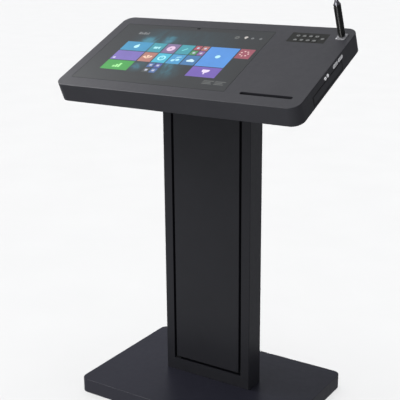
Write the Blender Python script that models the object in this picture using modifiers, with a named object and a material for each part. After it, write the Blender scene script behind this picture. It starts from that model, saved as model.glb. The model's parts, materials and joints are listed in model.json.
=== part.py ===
"""Digital touch lectern: base, column with a service door, tilted head and gooseneck microphone.

Lengths below are in millimetres and angles in degrees; the helpers turn them into metres and
radians. X points to the user's right, Y away from the user and Z up. The origin is on the floor
under the middle of the base. Pieces of the head are placed in its own frame: x to the right,
y towards the back edge and z out of the work surface, whose middle is the head's origin.
"""

from math import cos, pi, radians, sin

import bmesh
import bpy
from mathutils import Matrix, Vector

MM = 0.001
GAP = 0.3  # between pieces that touch
WALL = 2.0  # sheet of the base, column and head

BASE_W, BASE_D, BASE_TOP, BASE_R = 675.0, 460.0, 45.0, 25.0
BASE_SKIRT = 1.0  # height of the cover's lower edge above the floor
BASE_EDGE = 2.0
PLATE_W, PLATE_D, PLATE_T, PLATE_R = 640.0, 425.0, 12.0, 12.0
PAD_D, PAD_H, PAD_X, PAD_Y = 44.0, 8.0, 285.0, 178.0
POST_D = 14.0
SPIGOT_W, SPIGOT_D, SPIGOT_TOP, SPIGOT_FLOOR = 284.0, 54.0, 72.0, 4.0
FOOT_BOLT_X, FOOT_BOLT_Y = 120.0, 15.0
BOLT_D, BOLT_HEAD_D, BOLT_HEAD_H, BOLT_CLEAR = 8.0, 13.0, 3.7, 0.6
FOOT_BOLT_TOP = 32.0

COLUMN_W, COLUMN_D, COLUMN_Y = 298.0, 68.0, 10.0
COLUMN_FRONT, COLUMN_BACK = COLUMN_Y - COLUMN_D / 2, COLUMN_Y + COLUMN_D / 2
GROOVE = 8.0
GROOVE_IN = 32.6  # from the column's side to the middle of the groove
DOOR_W = COLUMN_W - 2 * GROOVE_IN - GROOVE
DOOR_T, DOOR_SKIN = 12.0, 2.5
DOOR_Z0, DOOR_Z1 = 92.5, 898.0
OPEN_W, OPEN_Z0, OPEN_Z1 = DOOR_W + 2 * GROOVE, DOOR_Z0 - GROOVE, DOOR_Z1 + GROOVE
FRAME_LIP, FRAME_T = 15.0, 3.0
FRAME_REST = COLUMN_FRONT + DOOR_T + 3.3  # front of the stop behind the door
PIVOT_IN = 6.0  # from the door's faces to its hinge axis
PIVOT_X, PIVOT_Y = -DOOR_W / 2 + PIVOT_IN, COLUMN_FRONT + PIVOT_IN
PIN_D, PIN_REACH, PIVOT_FOOT_H = 5.0, 5.0, 6.2
CATCH_X, CATCH_Z, CATCH_W, CATCH_H, CATCH_T = 97.0, 500.0, 14.0, 36.0, 12.0
VENT_W, VENT_H, VENT_Z, VENT_SLOTS, VENT_SLOT = 180.0, 260.0, 690.0, 8, 6.0
VENT_FLANGE, VENT_T = 12.0, 2.0

PC_W, PC_D, PC_H, PC_Z0 = 180.0, 34.0, 180.0, 600.0
SHELF_W, SHELF_T, SHELF_LIP = 220.0, 2.0, 26.0
SUPPLY_W, SUPPLY_D, SUPPLY_H, SUPPLY_X, SUPPLY_Z = 66.0, 34.0, 150.0, -55.0, 400.0
INLET_X, INLET_Z, INLET_W, INLET_H, INLET_DEEP = 95.0, 150.0, 48.0, 58.0, 26.0
INLET_FLANGE, INLET_T = 4.0, 2.2
SOCKET_W, SOCKET_H, SOCKET_DEEP, SOCKET_DROP = 24.0, 17.0, 16.0, 12.0
ROCKER_W, ROCKER_H, ROCKER_T, ROCKER_RISE, ROCKER_CLEAR = 21.0, 12.6, 8.0, 16.0, 0.8

HEAD_W, HEAD_D, HEAD_T, HEAD_R, HEAD_EDGE = 780.0, 395.0, 56.0, 32.0, 1.5
HEAD_TILT, HEAD_Y, HEAD_Z = 24.0, -42.5, 1042.0  # tilt and middle of the work surface
BRACKET_W, BRACKET_D, BRACKET_Z0, BRACKET_T = 284.0, 52.0, 935.0, 4.0
HEAD_BOLT_X, HEAD_BOLT_Y, HEAD_BOLT_TOP = (-125.0, 35.0), 32.0, -45.0
NUT_X, NUT_W, NUT_D, NUT_T = -45.0, 190.0, 64.0, 5.0
CABLE_D = 30.0

GLASS_X, GLASS_Y, GLASS_W, GLASS_D, GLASS_T, GLASS_R = -98.5, 1.0, 513.0, 309.0, 3.0, 3.0
FIT = 0.3  # all round a piece let into the work surface
PANEL_W, PANEL_D, PANEL_T = 500.0, 292.0, 12.0
RAIL_W, RAIL_D, RAIL_T, RAIL_X = 24.0, 345.0, 3.0, 205.0
LENS_X, LENS_Y, LENS_D = -96.0, 149.5, 5.0

PAD_PLATE_X, PAD_PLATE_Y, PAD_PLATE_W, PAD_PLATE_D, PAD_PLATE_T = 266.0, 135.0, 113.0, 49.5, 2.0
KEY_X, KEY_Y = (233.5, 252.5, 271.5, 290.5), (142.8, 121.2)
KEY_LAST_X, KEY_LAST_Y = 310.5, 132.0
KEY_W, KEY_D, KEY_H, KEY_PROUD, KEY_R = 14.0, 15.0, 6.0, 1.0, 2.0
BOARD_W, BOARD_D, BOARD_T, BOARD_DEEP = 124.0, 60.0, 1.6, 10.0

SLOT_X, SLOT_Y, SLOT_W, SLOT_D, SLOT_DEEP = 281.0, -152.5, 150.0, 10.5, 14.0
SLOT_WALL = 2.0

PORT_W, PORT_H, PORT_DEEP, PORT_Z, PORT_Y = 25.0, 8.4, 18.0, -12.0, (62.5, 30.0)
PORT_MOUTH_W, PORT_MOUTH_H, PORT_MOUTH_DEEP = 15.0, 5.2, 12.0
JACK_D, JACK_BORE, JACK_DEEP, JACK_Z, JACK_Y = 11.0, 6.3, 16.0, -13.5, (-20.3, -34.8)

DRAWER_X0, DRAWER_Y0, DRAWER_Y1, DRAWER_Z0, DRAWER_Z1 = 62.0, -112.0, 70.0, -48.0, -22.0
DRAWER_T, DRAWER_FRONT, DRAWER_FIT = 2.0, 4.0, 0.8
LATCH_LONG, LATCH_W, LATCH_H, PLUNGER_D, PLUNGER_OUT = 22.0, 18.0, 14.0, 8.0, 5.0
GUIDE_UNDER, GUIDE_OUT, GUIDE_T, GUIDE_H, GUIDE_SHORT = 12.0, 6.0, 4.2, 16.0, 5.0
KEYBOARD_W, KEYBOARD_D, KEYBOARD_T = 300.0, 135.0, 9.0

MIC_X, MIC_Y = 360.0, 149.2
FLANGE_W, FLANGE_D, FLANGE_T, FLANGE_R = 27.5, 31.0, 2.0, 3.0
BARREL_D, BARREL_DEEP, BORE_D, BORE_DEEP = 23.4, 22.0, 15.6, 11.0
NOSE_D, NOSE_DEEP, FOOT_D, FOOT_Z = 14.8, 9.0, 17.0, 3.0
MIC_D, MIC_TOP, MIC_CHAMFER, TAPER_TOP = 20.0, 96.0, 1.0, 16.0
RING_D, RING_TOP, CONE_D, CONE_TOP = 18.8, 98.0, 18.0, 108.5
NECK_D, PIVOT_1, PIVOT_2, PIVOT_STEP = 8.0, 150.0, 330.0, 4.6
CAPSULE_D, CAPSULE_Z0, CAPSULE_Z1 = 12.0, 384.0, 415.0
FOAM_D, FOAM_Z0, FOAM_Z1, FOAM_BORE = 26.0, 392.0, 440.0, 0.3

TURN_STEPS = 32
CORNER_STEPS = 6


# ---- helpers -------------------------------------------------------------------------------

def clear_scene():
    for obj in list(bpy.data.objects):
        bpy.data.objects.remove(obj, do_unlink=True)
    for name in ("touch_lectern", "cutters"):
        collection = bpy.data.collections.new(name)
        bpy.context.scene.collection.children.link(collection)
    bpy.data.collections["cutters"].hide_render = True


def material(name, color, roughness, metallic=0.0):
    if name in bpy.data.materials:
        return bpy.data.materials[name]
    made = bpy.data.materials.new(name)
    made.use_nodes = True
    shader = made.node_tree.nodes["Principled BSDF"]
    shader.inputs["Base Color"].default_value = (*color, 1.0)
    shader.inputs["Roughness"].default_value = roughness
    shader.inputs["Metallic"].default_value = metallic
    return made


def coat():
    return material("powder_coat", (0.075, 0.075, 0.085), 0.45, 0.2)


def dark():
    return material("dark_coat", (0.012, 0.012, 0.014), 0.6)


def steel():
    return material("bright_steel", (0.55, 0.55, 0.56), 0.35, 1.0)


def plastic():
    return material("black_plastic", (0.02, 0.02, 0.022), 0.5)


def empty(name, location=(0, 0, 0), tilt=0.0, parent=None):
    made = bpy.data.objects.new(name, None)
    made.location = Vector(location) * MM
    made.rotation_euler = (radians(tilt), 0, 0)
    made.parent = parent
    bpy.data.collections["touch_lectern"].objects.link(made)
    return made


def place(name, mesh, origin, parent, look):
    """An object of this mesh with its origin at that point of its parent's frame."""
    made = bpy.data.objects.new(name, mesh)
    made.location = Vector(origin) * MM
    made.parent = parent
    if look:
        mesh.materials.append(look)
    bpy.data.collections["touch_lectern"].objects.link(made)
    return made


def block(name, x, y, z, parent=None, look=None, corner=0.0, edge=0.0, origin=None):
    """A box between pairs of limits, with its upright edges and then its top edges rounded."""
    size = [b - a for a, b in (x, y, z)]
    centre = Vector([(a + b) / 2 for a, b in (x, y, z)])
    origin = centre if origin is None else Vector(origin)
    bm = bmesh.new()
    bmesh.ops.create_cube(bm, size=1.0)
    bmesh.ops.scale(bm, vec=Vector(size) * MM, verts=bm.verts)
    if corner:
        upright = [e for e in bm.edges if abs(e.verts[0].co.z - e.verts[1].co.z) > 1e-6]
        bmesh.ops.bevel(bm, geom=upright, offset=corner * MM, segments=CORNER_STEPS,
                        profile=0.5, affect="EDGES")
    if edge:
        top = size[2] * MM / 2 - 1e-6
        rim = [e for e in bm.edges if all(v.co.z > top for v in e.verts)
               and len(e.link_faces) == 2 and e.calc_face_angle(0) > 0.5]
        bmesh.ops.bevel(bm, geom=rim, offset=edge * MM, segments=2, profile=0.5, affect="EDGES")
    bmesh.ops.translate(bm, vec=(centre - origin) * MM, verts=bm.verts)
    mesh = bpy.data.meshes.new(name)
    bm.to_mesh(mesh)
    bm.free()
    return place(name, mesh, origin, parent, look)


def span(middle, size):
    return middle - size / 2, middle + size / 2


def rod(name, diameter, start, end, parent=None, look=None, steps=TURN_STEPS):
    """A cylinder from one point to another, which share two coordinates."""
    start, end = Vector(start), Vector(end)
    way = end - start
    bm = bmesh.new()
    bmesh.ops.create_cone(bm, cap_ends=True, segments=steps, radius1=diameter / 2 * MM,
                          radius2=diameter / 2 * MM, depth=way.length * MM)
    turn = Vector((0, 0, 1)).rotation_difference(way.normalized()).to_matrix()
    bmesh.ops.rotate(bm, matrix=turn, verts=bm.verts)
    mesh = bpy.data.meshes.new(name)
    bm.to_mesh(mesh)
    bm.free()
    mesh.shade_smooth()
    mesh.set_sharp_from_angle(angle=radians(30))
    return place(name, mesh, (start + end) / 2, parent, look)


def turned(name, profile, origin, parent=None, look=None, steps=TURN_STEPS):
    """A solid of revolution about Z. The profile is (radius, height) pairs, from the top down."""
    bm = bmesh.new()
    points = [bm.verts.new((r * MM, 0, h * MM)) for r, h in profile]
    for a, b in zip(points, points[1:]):
        bm.edges.new((a, b))
    mesh = bpy.data.meshes.new(name)
    bm.to_mesh(mesh)
    bm.free()
    made = place(name, mesh, origin, parent, look)
    screw = made.modifiers.new("turn", "SCREW")
    screw.steps = screw.render_steps = steps
    screw.use_merge_vertices = True
    screw.merge_threshold = 1e-5
    screw.use_smooth_shade = False
    return made


def helper(obj):
    for collection in obj.users_collection:
        collection.objects.unlink(obj)
    bpy.data.collections["cutters"].objects.link(obj)
    obj.hide_render = True
    obj.display_type = "WIRE"


def boolean(obj, operation, tools):
    for tool in tools:
        modifier = obj.modifiers.new(tool.name, "BOOLEAN")
        modifier.operation = operation
        modifier.solver = "EXACT"
        modifier.object = tool
        helper(tool)
    return obj


def cut(obj, *tools):
    return boolean(obj, "DIFFERENCE", tools)


def join(obj, *pieces):
    return boolean(obj, "UNION", pieces)


def bolt(name, x, y, head_z, top_z, parent=None):
    """A round-headed bolt that points up, with its head under head_z."""
    profile = [(0, top_z), (BOLT_D / 2, top_z), (BOLT_D / 2, head_z), (BOLT_HEAD_D / 2, head_z),
               (BOLT_HEAD_D / 2, head_z - BOLT_HEAD_H), (0, head_z - BOLT_HEAD_H)]
    return turned(name, profile, (x, y, 0), parent, steel(), 16)


def dome(radius, height, steps=4):
    """Profile points of a half ball whose middle is at this height, from its top down."""
    turns = [pi / 2 * i / steps for i in range(steps + 1)]
    return [(radius * sin(t), height + radius * cos(t)) for t in turns]


# ---- base ----------------------------------------------------------------------------------

def foot_bolt_places():
    return [(sx * FOOT_BOLT_X, COLUMN_Y + sy * FOOT_BOLT_Y) for sx in (-1, 1) for sy in (-1, 1)]


def corners():
    return [(sx * PAD_X, sy * PAD_Y) for sx in (-1, 1) for sy in (-1, 1)]


def base_cover():
    cover = block("base_cover", span(0, BASE_W), span(0, BASE_D), (BASE_SKIRT, BASE_TOP), None,
                  coat(), BASE_R, BASE_EDGE)
    cut(cover, block("cover_hollow", span(0, BASE_W - 2 * WALL), span(0, BASE_D - 2 * WALL),
                     (BASE_SKIRT - 5, BASE_TOP - WALL), corner=BASE_R - WALL))
    cut(cover, block("cover_opening", span(0, SPIGOT_W + 4), span(COLUMN_Y, SPIGOT_D + 4),
                     (BASE_TOP - 2 * WALL, BASE_TOP + WALL)))
    plate_top = PAD_H + GAP + PLATE_T
    posts = [rod(f"cover_post_{i}", POST_D, (x, y, plate_top + GAP), (x, y, BASE_TOP - WALL / 2),
                 steps=16) for i, (x, y) in enumerate(corners(), 1)]
    join(cover, *posts)


def ballast():
    z0 = PAD_H + GAP
    plate = block("ballast_plate", span(0, PLATE_W), span(0, PLATE_D), (z0, z0 + PLATE_T), None,
                  dark(), PLATE_R)
    cut(plate, *[rod(f"plate_hole_{i}", BOLT_D + BOLT_CLEAR, (x, y, z0 - 5),
                     (x, y, z0 + PLATE_T + 5), steps=16)
                 for i, (x, y) in enumerate(foot_bolt_places(), 1)])
    for i, (x, y) in enumerate(corners(), 1):
        rod(f"foot_pad_{i}", PAD_D, (x, y, 0), (x, y, PAD_H), None,
            material("rubber", (0.015, 0.015, 0.015), 0.8))


def spigot():
    z0 = PAD_H + GAP + PLATE_T + GAP
    tube = block("column_spigot", span(0, SPIGOT_W), span(COLUMN_Y, SPIGOT_D), (z0, SPIGOT_TOP),
                 None, dark())
    cut(tube, block("spigot_hollow", span(0, SPIGOT_W - 2 * WALL),
                    span(COLUMN_Y, SPIGOT_D - 2 * WALL), (z0 + SPIGOT_FLOOR, SPIGOT_TOP + 5)))
    cut(tube, *[rod(f"spigot_hole_{i}", BOLT_D + BOLT_CLEAR, (x, y, z0 - 5),
                    (x, y, z0 + 2 * SPIGOT_FLOOR), steps=16)
                for i, (x, y) in enumerate(foot_bolt_places(), 1)])
    for i, (x, y) in enumerate(foot_bolt_places(), 1):
        bolt(f"foot_bolt_{i}", x, y, PAD_H, FOOT_BOLT_TOP)


# ---- column --------------------------------------------------------------------------------

def under_head(name, head, depth):
    """A cutter for everything above a plane this far under the work surface."""
    return block(name, span(0, HEAD_W), span(0, HEAD_D), (-depth, -depth + 300), head)


def column_shell(head):
    shell = block("column_shell", span(0, COLUMN_W), span(COLUMN_Y, COLUMN_D),
                  (BASE_TOP + GAP, HEAD_Z), None, coat())
    cut(shell, block("column_hollow", span(0, COLUMN_W - 2 * WALL),
                     span(COLUMN_Y, COLUMN_D - 2 * WALL), (BASE_TOP - 10, HEAD_Z + 100)))
    cut(shell, block("column_opening", span(0, OPEN_W),
                     (COLUMN_FRONT - 5, COLUMN_FRONT + WALL + 2), (OPEN_Z0, OPEN_Z1)))
    cut(shell, block("vent_opening", span(0, VENT_W), (COLUMN_BACK - 2 * WALL, COLUMN_BACK + 5),
                     span(VENT_Z, VENT_H)))
    cut(shell, block("inlet_opening", span(INLET_X, INLET_W + 2 * FIT),
                     (COLUMN_BACK - 2 * WALL, COLUMN_BACK + 5), span(INLET_Z, INLET_H + 2 * FIT)))
    cut(shell, under_head("column_trim", head, HEAD_T + GAP))


def door_frame():
    y0, y1 = COLUMN_FRONT + WALL + GAP, FRAME_REST + FRAME_T
    frame = block("door_frame", span(0, OPEN_W + 2 * 6), (y0, y1),
                  (OPEN_Z0 - 6, OPEN_Z1 + 6), None, dark())
    cut(frame, block("frame_pocket", span(0, OPEN_W), (y0 - 5, FRAME_REST), (OPEN_Z0, OPEN_Z1)))
    cut(frame, block("frame_opening", span(0, OPEN_W - 2 * FRAME_LIP), (y0 - 5, y1 + 5),
                     (OPEN_Z0 + FRAME_LIP, OPEN_Z1 - FRAME_LIP)))


def service_door():
    hinge = (PIVOT_X, PIVOT_Y, DOOR_Z0)
    y0, y1 = COLUMN_FRONT, COLUMN_FRONT + DOOR_T
    door = block("service_door", span(0, DOOR_W), (y0, y1), (DOOR_Z0, DOOR_Z1), None, coat(),
                 origin=hinge)
    t = DOOR_SKIN
    cut(door, block("door_hollow", span(0, DOOR_W - 2 * t), (y0 + t, y1 + 5),
                    (DOOR_Z0 + t, DOOR_Z1 - t)))
    cut(door, rod("door_pivot_hole", PIN_D + BOLT_CLEAR, (PIVOT_X, PIVOT_Y, DOOR_Z0 - 10),
                  (PIVOT_X, PIVOT_Y, DOOR_Z1 + 10), steps=16))
    join(door, block("door_strike", span(CATCH_X, CATCH_W), (y0 + t / 2, FRAME_REST - 1),
                     span(CATCH_Z, CATCH_H)))
    for name, foot, pin in (("door_pivot_bottom", OPEN_Z0 + GAP, DOOR_Z0 + PIN_REACH),
                            ("door_pivot_top", OPEN_Z1 - GAP, DOOR_Z1 - PIN_REACH)):
        up = 1 if pin > foot else -1
        bracket = block(name, span(PIVOT_X, 18.0), (COLUMN_FRONT + 2, FRAME_REST - GAP),
                        sorted((foot, foot + up * PIVOT_FOOT_H)), None, steel())
        join(bracket, rod(name + "_pin", PIN_D, (PIVOT_X, PIVOT_Y, foot + up),
                          (PIVOT_X, PIVOT_Y, pin), steps=16))
    block("door_magnet", span(CATCH_X, CATCH_W), (FRAME_REST - GAP, FRAME_REST + CATCH_T),
          span(CATCH_Z, CATCH_H), None, plastic())


def vent_grille():
    wide, high = VENT_W + 2 * VENT_FLANGE, VENT_H + 2 * VENT_FLANGE
    grille = block("vent_grille", span(0, wide), (COLUMN_BACK + GAP, COLUMN_BACK + GAP + VENT_T),
                   span(VENT_Z, high), None, dark())
    join(grille, block("vent_plug", span(0, VENT_W - 2 * FIT),
                       (COLUMN_BACK - WALL, COLUMN_BACK + VENT_T / 2),
                       span(VENT_Z, VENT_H - 2 * FIT)))
    pitch = VENT_H / VENT_SLOTS
    slot = block("vent_slot", span(0, VENT_W - 30), (COLUMN_BACK - 10, COLUMN_BACK + 10),
                 span(VENT_Z - VENT_H / 2 + pitch / 2, VENT_SLOT))
    row = slot.modifiers.new("row", "ARRAY")
    row.count = VENT_SLOTS
    row.use_relative_offset = False
    row.use_constant_offset = True
    row.constant_offset_displace = (0, 0, pitch * MM)
    cut(grille, slot)


def equipment():
    back = COLUMN_BACK - WALL - GAP
    front = back - PC_D - 8
    shelf = block("equipment_shelf", span(0, SHELF_W), (front, back),
                  (PC_Z0 - GAP - SHELF_T, PC_Z0 - GAP), None, dark())
    join(shelf, block("shelf_lip", span(0, SHELF_W), (back - SHELF_T, back),
                      (PC_Z0 - SHELF_LIP - SHELF_T, PC_Z0 - 1)))
    block("media_pc", span(0, PC_W), (front + 2, front + 2 + PC_D), (PC_Z0, PC_Z0 + PC_H), None,
          plastic(), edge=3.0)
    block("power_supply", span(SUPPLY_X, SUPPLY_W), (back - SUPPLY_D, back),
          span(SUPPLY_Z, SUPPLY_H), None, plastic(), edge=2.0)


def mains_inlet():
    face = COLUMN_BACK + GAP + INLET_T
    module = block("inlet_module", span(INLET_X, INLET_W + 2 * INLET_FLANGE),
                   (COLUMN_BACK + GAP, face), span(INLET_Z, INLET_H + 2 * INLET_FLANGE), None,
                   plastic())
    join(module, block("inlet_body", span(INLET_X, INLET_W), (COLUMN_BACK - INLET_DEEP, face - 1),
                       span(INLET_Z, INLET_H)))
    cut(module, block("inlet_socket", span(INLET_X, SOCKET_W), (face - SOCKET_DEEP, face + 5),
                      span(INLET_Z - SOCKET_DROP, SOCKET_H)))
    rocker_z = INLET_Z + ROCKER_RISE
    c = 2 * ROCKER_CLEAR
    cut(module, block("rocker_pocket", span(INLET_X, ROCKER_W + c),
                      (face - ROCKER_T - 2, face + 5), span(rocker_z, ROCKER_H + c)))
    block("power_rocker", span(INLET_X, ROCKER_W), (face - ROCKER_T + 1, face + 1),
          span(rocker_z, ROCKER_H), None, plastic(),
          origin=(INLET_X, face - ROCKER_T / 2 + 1, rocker_z))


# ---- head ----------------------------------------------------------------------------------

def head_bracket(head):
    bracket = block("head_bracket", span(0, BRACKET_W), span(COLUMN_Y, BRACKET_D),
                    (BRACKET_Z0, HEAD_Z), None, dark())
    cut(bracket, under_head("bracket_trim", head, HEAD_T + GAP))
    hollow = block("bracket_hollow", span(0, BRACKET_W - 2 * BRACKET_T),
                   span(COLUMN_Y, BRACKET_D - 2 * BRACKET_T), (BRACKET_Z0 - 10, HEAD_Z))
    cut(hollow, under_head("bracket_hollow_trim", head, HEAD_T + GAP + BRACKET_T))
    cut(bracket, hollow)
    holes = [(x, HEAD_BOLT_Y, BOLT_D + BOLT_CLEAR) for x in HEAD_BOLT_X]
    holes.append((NUT_X, HEAD_BOLT_Y, CABLE_D))
    nut_z = -HEAD_T + WALL + GAP
    nut = block("nut_plate", span(NUT_X, NUT_W), span(HEAD_BOLT_Y, NUT_D), (nut_z, nut_z + NUT_T),
                head, steel())
    bottom = block("head_bottom", span(0, HEAD_W - 2 * WALL - 2 * FIT),
                   span(0, HEAD_D - 2 * WALL - 2 * FIT), (-HEAD_T, -HEAD_T + WALL), head, coat(),
                   HEAD_R - WALL)
    for i, (x, y, d) in enumerate(holes, 1):
        for part in (bracket, nut, bottom):
            cut(part, rod(f"{part.name}_hole_{i}", d, (x, y, -HEAD_T - 15), (x, y, -HEAD_T + 15),
                          head, steps=16))
    for i, x in enumerate(HEAD_BOLT_X, 1):
        bolt(f"head_bolt_{i}", x, HEAD_BOLT_Y, -HEAD_T - GAP - BRACKET_T - GAP, HEAD_BOLT_TOP,
             head)


def head_shell(head):
    shell = block("head_shell", span(0, HEAD_W), span(0, HEAD_D), (-HEAD_T, 0), head, coat(),
                  HEAD_R, HEAD_EDGE)
    cut(shell, block("head_hollow", span(0, HEAD_W - 2 * WALL), span(0, HEAD_D - 2 * WALL),
                     (-HEAD_T - 5, -WALL), head, corner=HEAD_R - WALL))
    through = (-WALL - 2, 5)
    cut(shell,
        block("glass_opening", span(GLASS_X, GLASS_W), span(GLASS_Y, GLASS_D), through, head,
              corner=GLASS_R),
        block("keypad_opening", span(PAD_PLATE_X, PAD_PLATE_W), span(PAD_PLATE_Y, PAD_PLATE_D),
              through, head, corner=KEY_R),
        block("slot_opening", span(SLOT_X, SLOT_W), span(SLOT_Y, SLOT_D), through, head,
              corner=SLOT_D / 2.05),
        rod("mic_opening", BARREL_D + 2 * FIT, (MIC_X, MIC_Y, -10), (MIC_X, MIC_Y, 5), head))
    side = (HEAD_W / 2 - WALL - 2, HEAD_W / 2 + 5)
    f = DRAWER_FIT
    cut(shell, block("drawer_opening", side, (DRAWER_Y0 - f, DRAWER_Y1 + f),
                     (DRAWER_Z0 - f, DRAWER_Z1 + f), head))
    cut(shell, *[side_oval(f"port_opening_{i}", y, PORT_Z, PORT_W + 2 * FIT, PORT_H + 2 * FIT,
                           side, head) for i, y in enumerate(PORT_Y, 1)])
    cut(shell, *[rod(f"jack_opening_{i}", JACK_D + 2 * FIT, (side[0], y, JACK_Z),
                     (side[1], y, JACK_Z), head) for i, y in enumerate(JACK_Y, 1)])


def side_oval(name, y, z, width, height, x, head, look=None):
    """A bar across the head's side wall, with a long section that is rounded at its ends."""
    bar = block(name, (-height / 2, height / 2), span(0, width), (0, x[1] - x[0]), head, look,
                corner=height / 2.05)
    bar.data.transform(Matrix.Translation((0, 0, (x[1] - x[0]) / 2 * MM)))
    bar.data.transform(Matrix.Rotation(pi / 2, 4, "Y"))
    bar.location = Vector((x[0], y, z)) * MM
    return bar


def display(head):
    f = 2 * FIT
    glass = block("display_glass", span(GLASS_X, GLASS_W - f), span(GLASS_Y, GLASS_D - f),
                  (-GLASS_T, 0), head, material("screen_glass", (0.01, 0.012, 0.015), 0.2),
                  GLASS_R)
    cut(glass, rod("lens_hole", LENS_D + f, (LENS_X, LENS_Y, -10), (LENS_X, LENS_Y, 5), head,
                   steps=16))
    rod("sensor_lens", LENS_D, (LENS_X, LENS_Y, -GLASS_T), (LENS_X, LENS_Y, -GAP), head,
        plastic(), 16)
    top = -GLASS_T - GAP
    block("display_panel", span(GLASS_X, PANEL_W), span(GLASS_Y, PANEL_D), (top - PANEL_T, top),
          head, dark())
    under = top - PANEL_T - GAP
    for side, sx in (("left", -1), ("right", 1)):
        x = span(GLASS_X + sx * RAIL_X, RAIL_W)
        rail = block(f"display_rail_{side}", x, span(GLASS_Y, RAIL_D), (under - RAIL_T, under),
                     head, steel())
        for i, sy in enumerate((-1, 1), 1):
            end = GLASS_Y + sy * (RAIL_D - 8) / 2
            join(rail, block(f"rail_{side}_post_{i}", x, span(end, 8), (under - 1, -WALL - GAP),
                             head))


def key_places():
    return [(x, y) for y in KEY_Y for x in KEY_X] + [(KEY_LAST_X, KEY_LAST_Y)]


def keypad(head):
    f = 2 * FIT
    plate = block("keypad_plate", span(PAD_PLATE_X, PAD_PLATE_W - f),
                  span(PAD_PLATE_Y, PAD_PLATE_D - f), (-PAD_PLATE_T, 0), head, plastic(), KEY_R)
    for i, (x, y) in enumerate(key_places(), 1):
        cut(plate, block(f"key_hole_{i}", span(x, KEY_W + f), span(y, KEY_D + f), (-10, 5), head,
                         corner=KEY_R))
        block(f"key_{i}", span(x, KEY_W), span(y, KEY_D), (KEY_PROUD - KEY_H, KEY_PROUD), head,
              plastic(), KEY_R, 0.6)
    block("keypad_board", span(PAD_PLATE_X, BOARD_W), span(PAD_PLATE_Y, BOARD_D),
          (-BOARD_DEEP - BOARD_T, -BOARD_DEEP), head,
          material("circuit_board", (0.02, 0.09, 0.04), 0.5))


def slot_liner(head):
    top, floor = -WALL - GAP, -SLOT_DEEP
    w = 2 * SLOT_WALL
    liner = block("slot_liner", span(SLOT_X, SLOT_W + w), span(SLOT_Y, SLOT_D + w),
                  (floor - SLOT_WALL, top), head, plastic(), SLOT_D / 2)
    cut(liner, block("slot_pocket", span(SLOT_X, SLOT_W), span(SLOT_Y, SLOT_D), (floor, 5), head,
                     corner=SLOT_D / 2.05))


def side_sockets(head):
    face = HEAD_W / 2 - 0.1
    for name, y in zip(("port_rear", "port_front"), PORT_Y):
        port = side_oval(name, y, PORT_Z, PORT_W, PORT_H, (face - PORT_DEEP, face), head, steel())
        cut(port, block(name + "_mouth", (face - PORT_MOUTH_DEEP, face + 5),
                        span(y, PORT_MOUTH_W), span(PORT_Z, PORT_MOUTH_H), head))
    for name, y in zip(("jack_rear", "jack_front"), JACK_Y):
        jack = rod(name, JACK_D, (face - JACK_DEEP, y, JACK_Z), (face, y, JACK_Z), head, steel())
        cut(jack, rod(name + "_bore", JACK_BORE, (face - JACK_DEEP + 2, y, JACK_Z),
                      (face + 5, y, JACK_Z), head))


def drawer(head):
    x1, t = HEAD_W / 2, DRAWER_T
    y, z = (DRAWER_Y0, DRAWER_Y1), (DRAWER_Z0, DRAWER_Z1)
    tray = block("keyboard_drawer", (DRAWER_X0, x1), y, z, head, coat())
    cut(tray, block("drawer_hollow", (DRAWER_X0 + t, x1 - DRAWER_FRONT), (y[0] + t, y[1] - t),
                    (z[0] + t, z[1] + 5), head))
    middle = (y[0] + y[1]) / 2
    kx, ky = span((DRAWER_X0 + x1) / 2, KEYBOARD_W), span(middle, KEYBOARD_D)
    block("compact_keyboard", kx, ky, (z[0] + t + GAP, z[0] + t + GAP + KEYBOARD_T), head,
          plastic(), 6.0, 1.5)
    x = (DRAWER_X0, x1 - WALL - GUIDE_SHORT)
    low = (-HEAD_T + WALL + GAP, z[0] - DRAWER_FIT)
    for name, edge, out in (("drawer_rail_front", y[0], -1), ("drawer_rail_back", y[1], 1)):
        inner, outer = edge - out * GUIDE_UNDER, edge + out * GUIDE_OUT
        guide = block(name, x, sorted((inner, outer)), low, head, steel())
        join(guide, block(name + "_side", x, sorted((edge + out * DRAWER_FIT, outer)),
                          (low[1] - 1, z[0] + GUIDE_H), head))
    back = DRAWER_X0 - GAP
    latch = block("drawer_latch", (back - LATCH_LONG, back - PLUNGER_OUT), span(middle, LATCH_W),
                  (low[0], low[0] + LATCH_H), head, plastic(), 1.0)
    height = low[0] + LATCH_H / 2
    join(latch, rod("latch_plunger", PLUNGER_D, (back - PLUNGER_OUT - 1, middle, height),
                    (back, middle, height), head))


# ---- microphone ----------------------------------------------------------------------------

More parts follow.
